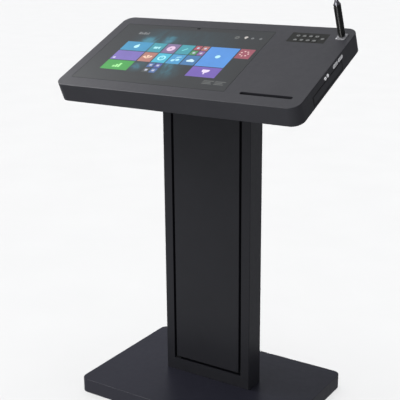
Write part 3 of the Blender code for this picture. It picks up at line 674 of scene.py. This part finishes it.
def head():
    skin = block("head_skin", HEAD_X, HEAD_Y, HEAD_Z, COAT, at=HEAD, corner=32, edge=1.8, steps=16, rim=4)
    inside = tool(inset(HEAD_X, WALL), inset(HEAD_Y, WALL), (-62, -WALL), at=HEAD, corner=30, steps=16)
    keypad_hole = tool(span(266, 113), span(135.0, 49.5), TOP_CUT, at=HEAD, corner=2, steps=5)
    slot_hole = tool(*SLOT, TOP_CUT, at=HEAD, corner=5.1, steps=8)
    mic_hole = rod(12, MIC_X, MIC_Y, -9, 5, HEAD)
    drawer_hole = tool(SIDE_CUT, (-113.4, 71.4), (-49.4, -20.6), at=HEAD)
    cuts = [inside, pane(0.2, corner=3.7), keypad_hole, slot_hole, mic_hole, drawer_hole]
    for _, _, y in PORTS:
        cuts.append(tool(SIDE_CUT, span(y, 25.6), span(-12, 9.0), at=HEAD, corner=4.3, steps=6, axis="X"))
    for _, _, y in JACKS:
        bore = [(0, SIDE_CUT[1]), (5.8, SIDE_CUT[1]), (5.8, SIDE_CUT[0]), (0, SIDE_CUT[0])]
        cuts.append(solid("bore", bore, (0, y, JACK_Z), at=HEAD, axis="X"))
    carve(skin, cuts)
    fit(skin, "stand", "head_shell")
    band = block("glass_seal", inset(GLASS_X, -0.18), inset(GLASS_Y, -0.18), (-1.6, -0.06), LINING,
                 at=HEAD, corner=3.6, steps=5)
    carve(band, [pane(0.02, corner=3.5)])
    fit(band, "stand")
    liner = block("slot_lining", (203.6, 358.4), (-160.1, -144.9), (-15.9, -2.3), LINING, at=HEAD,
                  corner=7.0, steps=8)
    carve(liner, [tool(*SLOT, (-14, 5), at=HEAD, corner=5.1, steps=8)])
    fit(liner, "stand", "slot_liner")
    bm = bmesh.new()
    profile = [(0, 0), (3.4, 0), (3.4, -0.5), (2.6, -1.6), (1.5, -1.7), (1.4, -0.8), (0, -0.8)]
    for x in (-340, -170, 170, 340):
        for y in (-165, 165):
            lathe(bm, profile, (x, y, HEAD_Z[0]), 20)
    finish(bm, "underside_screws", STEEL, "stand", HEAD)


# ---- display ---------------------------------------------------------------------------------

TILES_LEFT, TILES_TOP = -292.0, 56.0
PITCH_X, PITCH_Y = 49.0, 52.3
TILE_W, TILE_H = 45.4, 49.4
SMALL_GAP = 3.4
ACTIVE_X, ACTIVE_Y = (-338.0, 141.0), (-134.0, 136.0)
WALLPAPER_Z, TILE_Z, SIGN_Z = 0.05, 0.10, 0.16

# colour of each tile, colour of its sign, then its column, row, width and height in cells
TILES = {
    "sky": ((0.030, 0.28, 0.51), (0.50, 0.88, 0.95), 0, 0, 2),
    "teal_a": ((0.030, 0.31, 0.39), (0.42, 0.85, 0.90), 2, 0),
    "magenta": ((0.20, 0.135, 0.29), (0.80, 0.56, 0.76), 3, 0),
    "teal_b": ((0.03, 0.31, 0.38), (0.20, 0.70, 0.72), 4, 0),
    "blue_big": ((0.068, 0.275, 0.72), (0.50, 0.90, 0.98), 6, 0, 2, 2),
    "red": ((0.305, 0.058, 0.090), (0.80, 0.55, 0.52), 8, 0),
    "violet_a": ((0.185, 0.132, 0.47), (0.60, 0.60, 0.75), 0, 1, 2),
    "orange": ((0.445, 0.175, 0.140), (0.92, 0.66, 0.48), 2, 1),
    "cyan": ((0.045, 0.47, 0.65), (0.40, 0.88, 0.95), 3, 1),
    "blue_a": ((0.045, 0.31, 0.59), (0.42, 0.80, 0.95), 4, 1),
    "blue_b": ((0.035, 0.17, 0.40), (0.66, 0.88, 0.95), 5, 1),
    "green": ((0.035, 0.35, 0.045), (0.38, 0.88, 0.32), 0, 2, 2),
    "violet_b": ((0.155, 0.085, 0.43), (0.85, 0.74, 0.92), 6, 2, 2),
}

# colour of the quarter tiles, then the column and row of their cell and their own inside it
SMALL_TILES = {
    "small_red": ((0.38, 0.06, 0.09), [(5, 0, 0, 0)]),
    "small_coral": ((0.42, 0.14, 0.13), [(5, 0, 1, 0)]),
    "small_green": ((0.06, 0.26, 0.09), [(5, 0, 0, 1)]),
    "small_rose": ((0.24, 0.10, 0.32), [(5, 0, 1, 1)]),
    "small_blue": ((0.05, 0.13, 0.36), [(3, 2, 0, 0), (3, 2, 1, 1)]),
    "small_indigo": ((0.06, 0.09, 0.38), [(3, 2, 1, 0)]),
    "small_dark": ((0.05, 0.06, 0.06), [(3, 2, 0, 1)]),
}


def poly(bm, points, z):
    """A flat patch with any outline, in the head's frame."""
    bm.faces.new([bm.verts.new((x * MM, y * MM, z * MM)) for x, y in points])


def flat(bm, x, y, z):
    """A flat rectangle between limits."""
    poly(bm, [(x[0], y[0]), (x[1], y[0]), (x[1], y[1]), (x[0], y[1])], z)


def disc(bm, x, y, z, radius, inner=0.0, start=0.0, sweep=360.0, steps=28, squash=1.0):
    """A flat disc, ring or fan."""
    angles = [radians(start + sweep * i / steps) for i in range(steps + 1)]

    def at(r, a):
        return bm.verts.new(((x + r * cos(a)) * MM, (y + r * squash * sin(a)) * MM, z * MM))

    for a, b in zip(angles, angles[1:]):
        if inner:
            bm.faces.new([at(inner, a), at(radius, a), at(radius, b), at(inner, b)])
        else:
            bm.faces.new([at(0, a), at(radius, a), at(radius, b)])


def cell(column, row, wide=1, high=1):
    """The limits of a tile in the grid."""
    x0 = TILES_LEFT + PITCH_X * column
    y1 = TILES_TOP - PITCH_Y * row
    return (x0, x0 + TILE_W + PITCH_X * (wide - 1)), (y1 - TILE_H - PITCH_Y * (high - 1), y1)


def middle(column, row, wide=1, high=1):
    (x0, x1), (y0, y1) = cell(column, row, wide, high)
    return (x0 + x1) / 2, (y0 + y1) / 2


def picture(bm, name, material):
    return finish(bm, name, material, "stand", HEAD)


def display():
    bm = bmesh.new()
    uv = bm.loops.layers.uv.new("UVMap")
    (x0, x1), (y0, y1) = ACTIVE_X, ACTIVE_Y
    bmesh.ops.create_grid(bm, x_segments=24, y_segments=24, size=0.5)
    for v in bm.verts:
        x = x0 + (v.co.x + 0.5) * (x1 - x0)
        y = y0 + (v.co.y + 0.5) * (y1 - y0)
        v.co = Vector((x * MM, y * MM, WALLPAPER_Z * MM))
    for face in bm.faces:
        for loop in face.loops:
            loop[uv].uv = loop.vert.co.xy
    picture(bm, "screen_wallpaper", screen_material())
    for name, (color, _, *place) in TILES.items():
        bm = bmesh.new()
        flat(bm, *cell(*place), TILE_Z)
        picture(bm, "tile_" + name, lit(name + "_light", color))
    wide, high = (TILE_W - SMALL_GAP) / 2, (TILE_H - SMALL_GAP) / 2
    for name, (color, cells) in SMALL_TILES.items():
        bm = bmesh.new()
        for column, row, i, j in cells:
            (x0, _), (_, y1) = cell(column, row)
            x, y = x0 + i * (wide + SMALL_GAP), y1 - j * (high + SMALL_GAP)
            flat(bm, (x, x + wide), (y - high, y), TILE_Z)
        picture(bm, name, lit(name + "_light", color))
    block("sensor_window", span(-96, 12), span(149.5, 6.6), (0.04, 0.10), PRINT_DARK, "stand", HEAD,
          corner=3.0, steps=6)


def signs():
    """The mesh of each tile's sign: a plain mark of simple geometry."""
    made = {name: bmesh.new() for name in TILES}
    centre = {name: middle(*tile[2:]) for name, tile in TILES.items()}
    z = SIGN_Z
    x, y = centre["sky"]                                    # drop
    disc(made["sky"], x, y - 1.5, z, 8.5)
    poly(made["sky"], [(x - 7.5, y + 2.4), (x + 7.5, y + 2.4), (x + 4, y + 13)], z)
    x, y = centre["teal_a"]                                 # two offset panes
    flat(made["teal_a"], (x - 11, x + 3), (y - 6, y + 5), z)
    poly(made["teal_a"], [(x + 4.5, y - 3), (x + 11, y - 7), (x + 11, y + 7), (x + 4.5, y + 4)], z)
    x, y = centre["magenta"]                                # wide ring
    disc(made["magenta"], x, y, z, 13.5, 2.6)
    x, y = centre["teal_b"]                                 # sloping bar
    poly(made["teal_b"], [(x - 9, y - 6), (x - 5, y - 8), (x + 8, y + 5), (x + 4, y + 8)], z)
    x, y = centre["blue_big"]                               # bead
    disc(made["blue_big"], x, y + 2, z, 8.0)
    x, y = centre["orange"]                                 # fan of three
    for turn in (35, 80, 125):
        disc(made["orange"], x, y - 9, z, 19, 0, turn, 30, 5)
    x, y = centre["cyan"]                                   # ring with a hand
    disc(made["cyan"], x, y, z, 13, 8)
    flat(made["cyan"], (x - 1.4, x + 1.4), (y - 1, y + 7), z)
    x, y = centre["blue_a"]                                 # two beads and a stem
    disc(made["blue_a"], x - 7, y - 7, z, 6)
    disc(made["blue_a"], x + 7, y - 3, z, 6)
    poly(made["blue_a"], [(x - 3, y - 6), (x - 1, y - 6), (x - 1, y + 8), (x + 12, y + 11),
                          (x + 12, y + 15), (x - 3, y + 12)], z)
    x, y = centre["blue_b"]                                 # cloud
    disc(made["blue_b"], x - 7, y - 3, z, 5)
    disc(made["blue_b"], x + 1, y, z, 7)
    disc(made["blue_b"], x + 9, y - 3, z, 5)
    flat(made["blue_b"], (x - 8, x + 10), (y - 8, y - 3), z)
    x, y = centre["green"]                                  # rising bars
    for i, tall in enumerate((9, 15, 22)):
        flat(made["green"], span(x - 9 + 9 * i, 7.5), (y - 12, y - 12 + tall), z)
    x, y = centre["violet_a"]                               # small corner mark
    flat(made["violet_a"], span(x - 37, 9), span(y - 15, 8), z)
    x, y = centre["violet_b"]                               # cup
    disc(made["violet_b"], x + 3, y + 9, z, 12, 0, 180, 180, 18)
    flat(made["violet_b"], (x - 9, x + 15), (y + 8.9, y + 12.5), z)
    flat(made["violet_b"], (x + 1, x + 5.5), (y - 10, y - 2), z)
    x, y = centre["red"]                                    # beads round a gap
    for i in range(7):
        a = 2 * pi * i / 7
        disc(made["red"], x - 2 + 12 * cos(a), y + 1 + 12 * sin(a), z, 2.8, steps=10)
    return made


def glyphs():
    """The signs on the tiles and the small marks beside them."""
    for name, bm in signs().items():
        picture(bm, "sign_" + name, lit("sign_" + name + "_light", TILES[name][1]))
    bm = bmesh.new()
    for right, down in ((-12, -13), (12, -13), (-12, 13), (12, 13)):      # beads on the quarter tiles
        x, y = middle(5, 0)
        disc(bm, x + right, y - down, SIGN_Z, 4.6)
        x, y = middle(3, 2)
        flat(bm, span(x + right, 9), span(y - down, 9), SIGN_Z)
    picture(bm, "sign_beads", lit("bead_light", (0.52, 0.54, 0.66)))
    bm = bmesh.new()
    strokes = [(0, 9, 112), (10.5, 16, 108), (17.5, 25, 112), (26.5, 31, 108), (32.5, 37, 112)]
    for x0, x1, top in strokes:                             # heading
        flat(bm, (-284 + x0, -284 + x1), (99, top), SIGN_Z)
    for x, r in ((104, 4.6), (130, 4.4)):                   # status marks
        disc(bm, x, 114, SIGN_Z, r, r * 0.3)
    picture(bm, "heading_marks", lit("heading_light", (0.175, 0.18, 0.185)))
    bm = bmesh.new()
    disc(bm, 54, 114, SIGN_Z, 8.0, 2.0)
    for x in (73, 110):
        for i, wide in enumerate((33, 25, 30)):
            flat(bm, (x, x + wide), span(-113 - 6.5 * i, 3.6), SIGN_Z)
    picture(bm, "faint_marks", lit("faint_light", (0.10, 0.105, 0.10)))
    bm = bmesh.new()
    disc(bm, 82, 117, SIGN_Z, 6.0, 0, 0, 180, 16)
    poly(bm, [(76, 117), (81, 109), (83, 109), (88, 117)], SIGN_Z)
    picture(bm, "user_mark", lit("user_light", (0.52, 0.49, 0.46)))


# ---- keypad ----------------------------------------------------------------------------------

KEYS = [(x, y) for y in (142.8, 121.2) for x in (233.5, 252.5, 271.5, 290.5)] + [(310.5, 132.0)]


def legend(bm, i, x, y, z):
    """A printed sign of simple geometry for key i."""
    if i % 3 == 1:
        disc(bm, x, y, z, 5.6, 2.0, squash=0.72)
    elif i % 3 == 2:
        poly(bm, [(x - 5.4, y - 3.6), (x + 5.4, y - 3.6), (x + 5.4, y + 0.6), (x, y + 4.4),
                  (x - 5.4, y + 0.6)], z)
    else:
        disc(bm, x, y, z, 5.4, 0, squash=0.74)
        disc(bm, x, y, z, 1.2)


def keypad():
    for i, (x, y) in enumerate(KEYS, 1):
        cap = block(f"keycap_{i}", span(x, 14), span(y, 15), (-5, 1), KEYTOP, at=HEAD, corner=2.4,
                    edge=0.7, steps=5)
        fit(cap, f"button_{i}", f"key_{i}")
        bm = bmesh.new()
        legend(bm, i, x, y, 1.04)
        finish(bm, f"legend_{i}", LEGEND, f"button_{i}", HEAD)


# ---- sockets and drawer ----------------------------------------------------------------------

FACE = 389.9                # x of the outer end of the ports and jacks


def mouth(y, depth, width, corner):
    """A tool of the shape of the mouth of a port."""
    return tool((FACE - depth, FACE + 5), span(y, width), span(-12, 5.2), at=HEAD, corner=corner,
                steps=3, axis="X")


def ports():
    for name, node, y in PORTS:
        shell = block(name, (FACE - 18, FACE), span(y, 25), span(-12, 8.4), PORT, at=HEAD, corner=4.0,
                      edge=0.5, steps=8, axis="X")
        carve(shell, [mouth(y, 12, 15, 0.6)])
        fit(shell, "stand", node)
        bm = bmesh.new()
        box(bm, (FACE - 11.8, FACE - 1.0), span(y, 12.6), span(-11.4, 2.4), edge=0.3, axis="X")
        finish(bm, name + "_tongue", TONGUE, "stand", HEAD)
        bezel = block(name + "_bezel", (FACE + 0.15, FACE + 0.9), span(y, 29.4), span(-12.2, 10.2), PORT,
                      at=HEAD, corner=4.8, edge=0.3, steps=8, axis="X")
        carve(bezel, [mouth(y, 5, 19, 1.0)])
        fit(bezel, "stand")


def jacks():
    """Two jacks, each a body with its nut, a sleeve inside and a seat under the nut."""
    body = [(2.6, -2.0), (2.6, 2.0), (2.9, 2.3), (4.4, 2.3), (4.8, 1.9), (4.8, -2.0), (5.5, -2.0),
            (5.5, -16), (0, -16), (0, -14), (2.9, -14), (2.9, -2)]
    sleeve = [(2.85, -2.2), (2.85, -13.9), (2.3, -13.9), (2.3, -2.2), (2.85, -2.2)]
    seat = [(4.9, -0.1), (5.4, -0.1), (5.5, -0.2), (5.5, -1.9), (4.9, -1.9), (4.9, -0.1)]
    for name, node, y in JACKS:
        at = (FACE, y, JACK_Z)
        fit(solid(name, body, at, CONNECTOR, at=HEAD, axis="X"), "stand", node)
        inner = solid(name + "_sleeve", sleeve, at, STEEL, "stand", HEAD, 32, "X")
        under = solid(name + "_seat", seat, at, PLASTIC, "stand", HEAD, axis="X")


def drawer_shade_strip():
    """A dark strip round the face of the drawer, standing 0.5 mm proud of it: painted shade of the gap round
    the drawer.
    """
    along, up = (-112, 70), (-48, -22)
    band = block("drawer_shade_strip", (390.05, 390.5), along, up, PLASTIC, at=HEAD)
    carve(band, [tool(SIDE_CUT, inset(along, 3.4), inset(up, 2.6), at=HEAD)])
    fit(band, "drawer")


def keyboard():
    """Six rows of keys on the keyboard in the drawer; the last row has the long key."""
    left, rear, top = 89.0, 36.5, -36.7
    bm = bmesh.new()
    for row in range(6):
        y = rear - row * 19.6
        widths = [19.5] * 14 if row < 5 else [28, 28, 28, 108, 28, 28, 25]
        x = left
        for wide in widths:
            box(bm, (x + 0.9, x + wide - 0.9), span(y, 16.8 if row else 12.0), (top, top + 2.2),
                corner=1.6, edge=0.6, steps=3, rim=2, both=False)
            x += wide
    finish(bm, "keycaps", KEYTOP, "drawer", HEAD)


# ---- microphone ------------------------------------------------------------------------------

def smooth(points, steps=8):
    """Catmull-Rom through (radius, height) points, from the top down."""
    out = []
    last = len(points) - 1
    for i in range(last):
        a, b, c, d = points[max(i - 1, 0)], points[i], points[i + 1], points[min(i + 2, last)]
        for k in range(steps):
            t = k / steps
            out.append(tuple(0.5 * (2 * b[n] + (c[n] - a[n]) * t
                                    + (2 * a[n] - 5 * b[n] + 4 * c[n] - d[n]) * t * t
                                    + (3 * b[n] - a[n] - 3 * c[n] + d[n]) * t ** 3)
                             for n in (0, 1)))
    return out + [points[-1]]


def turned(name, profile, material, body, node=None, steps=64):
    """A turned piece on the microphone's axis, in place of a CAD node where one is named."""
    made = solid(name, profile, (MIC_X, MIC_Y, 0), material, at=HEAD, steps=steps)
    fit(made, body, node)


def microphone():
    taper = smooth([(10.0, 18.0), (9.9, 14.0), (9.5, 9.0), (8.9, 5.0), (8.4, 3.1)], 5)
    barrel = [(0, 97.6), (9.2, 97.6), (9.8, 97.2), (10.0, 96.4), (10.0, 93.4), (9.75, 93.1), (9.75, 92.3),
              (10.0, 92.0), (10.0, 60.0)] + taper + [(7.4, 3.0), (7.4, -9.0), (0, -9.0)]
    turned("mic_barrel", barrel, MIC_BLACK, "stand", "mic_base")
    flare = smooth([(5.0, 108.4), (5.7, 105.5), (7.3, 102.0), (8.7, 99.0), (9.0, 97.8)], 6)
    cone = [(0, 112.0), (4.5, 112.0), (4.8, 111.4), (4.9, 109.0)] + flare + [(0, 97.8)]
    turned("mic_cone", cone, MIC_GREY, "stand")
    flex("neck_lower_flex", 111.0, 190.0)
    tube = [(0, 291.0), (4.0, 291.0), (4.4, 290.4), (4.4, 286.0), (4.0, 285.4), (4.0, 195.0), (4.4, 194.4),
            (4.4, 189.6), (4.0, 189.0), (0, 189.0)]
    turned("neck_tube", tube, NECK, "mic_stem", "neck_middle", 32)
    flex("neck_upper_flex", 289.0, 371.0)
    waist = smooth([(5.7, 384.6), (5.0, 380.0), (4.4, 375.0), (4.4, 370.0)], 5)
    shell = [(0, 415.0), (5.4, 415.0), (6.0, 414.4), (6.0, 386.0), (5.8, 385.2)] + waist + [(0, 370.0)]
    turned("mic_shell", shell, MIC_BLACK, "mic_head", "mic_capsule", 40)
    radius, top = 13.0, 440.0
    turns = [pi / 2 * i / 10 for i in range(11)]
    dome = [(radius * sin(a), top - radius + radius * cos(a)) for a in turns]
    hem = smooth([(12.6, 398.0), (11.6, 394.2), (9.6, 392.2), (7.0, 392.0)], 4)
    foam = dome + [(13.0, 415.0), (12.9, 404.0)] + hem + [(6.4, 392.3), (6.4, 415.4), (0, 415.4)]
    turned("foam_windscreen", foam, FOAM, "mic_head", "windscreen", 48)


def flex(name, z0, z1):
    """A ribbed flexible part of the neck, between one body and the next; a fixed mesh that rides on neither.
    """
    pitch, radius, rib = 2.4, 3.75, 0.28
    per_rib = 6
    steps = int((z1 - z0) / pitch) * per_rib
    rings = [(radius + rib * sin(2 * pi * i / per_rib), z1 - (z1 - z0) * i / steps)
             for i in range(steps + 1)]
    made = solid(name, [(0, z1)] + rings + [(0, z0)], (MIC_X, MIC_Y, 0), NECK, at=HEAD, steps=24)
    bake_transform(made)


def mic_socket():
    """The panel socket: a small flange with two screws, a collar and a release tab."""
    plate = block("socket_flange", span(MIC_X, 27.5), span(MIC_Y, 31), (0.3, 2.3), FLANGE, at=HEAD,
                  corner=3.2, edge=0.5, steps=8, both=False)
    carve(plate, [rod(11.7, MIC_X, MIC_Y, -22, 1.6, HEAD)], "UNION")
    carve(plate, [rod(7.8, MIC_X, MIC_Y, -11, 10, HEAD)])
    fit(plate, "stand", "mic_socket")
    collar = [(8.0, 2.8), (10.0, 2.8), (10.5, 2.5), (10.5, 2.3), (8.0, 2.3), (8.0, 2.8)]
    turned("socket_collar", collar, FLANGE, "stand", steps=48)
    bm = bmesh.new()
    for side in (1, -1):
        screw_head(bm, MIC_X + side * 9.9, MIC_Y + side * 12.1, 2.3, 2.7, "Z")
    finish(bm, "socket_screws", CONNECTOR, "stand", HEAD)
    bm = bmesh.new()
    box(bm, span(MIC_X, 6.0), span(MIC_Y + 12.6, 3.2), (2.3, 3.3), corner=0.8, edge=0.3, steps=3, both=False)
    finish(bm, "socket_release", BLACK, "stand", HEAD)


# ---- finishes of the pieces that stay as they are --------------------------------------------

LOOKS = {
    COAT: ["head_bottom", "keyboard_drawer"],
    COAT_PAINTED_SHADE: ["door_frame"],
    BLACK: ["door_pivot_bottom", "door_pivot_top", "door_magnet", "ballast_plate", "column_spigot",
            "vent_grille", "equipment_shelf", "head_bracket", "display_panel"],
    STEEL: ["nut_plate", "display_rail_left", "display_rail_right", "drawer_rail_front",
            "drawer_rail_back", "head_bolt_1", "head_bolt_2"] + [f"foot_bolt_{i}" for i in range(1, 5)],
    PLASTIC: ["drawer_latch", "media_pc", "power_supply", "inlet_module", "power_rocker", "sensor_lens",
              "compact_keyboard"],
    MEMBRANE: ["keypad_plate"],
    BOARD: ["keypad_board"],
    RUBBER: [f"foot_pad_{i}" for i in range(1, 5)],
    COVER_GLASS: ["display_glass"],
}


def paint():
    for look, names in LOOKS.items():
        for name in names:
            slots = NODES[name].material_slots
            if not slots:
                NODES[name].data.materials.append(look)
            for place in slots:
                place.link = "OBJECT"
                place.material = look


camera()
backdrop()
lamps()
studio_floor()
base()
column()
door()
column_details()
pc_details()
head()
display()
glyphs()
keypad()
ports()
jacks()
drawer_shade_strip()
keyboard()
microphone()
mic_socket()
paint()
link_lights()
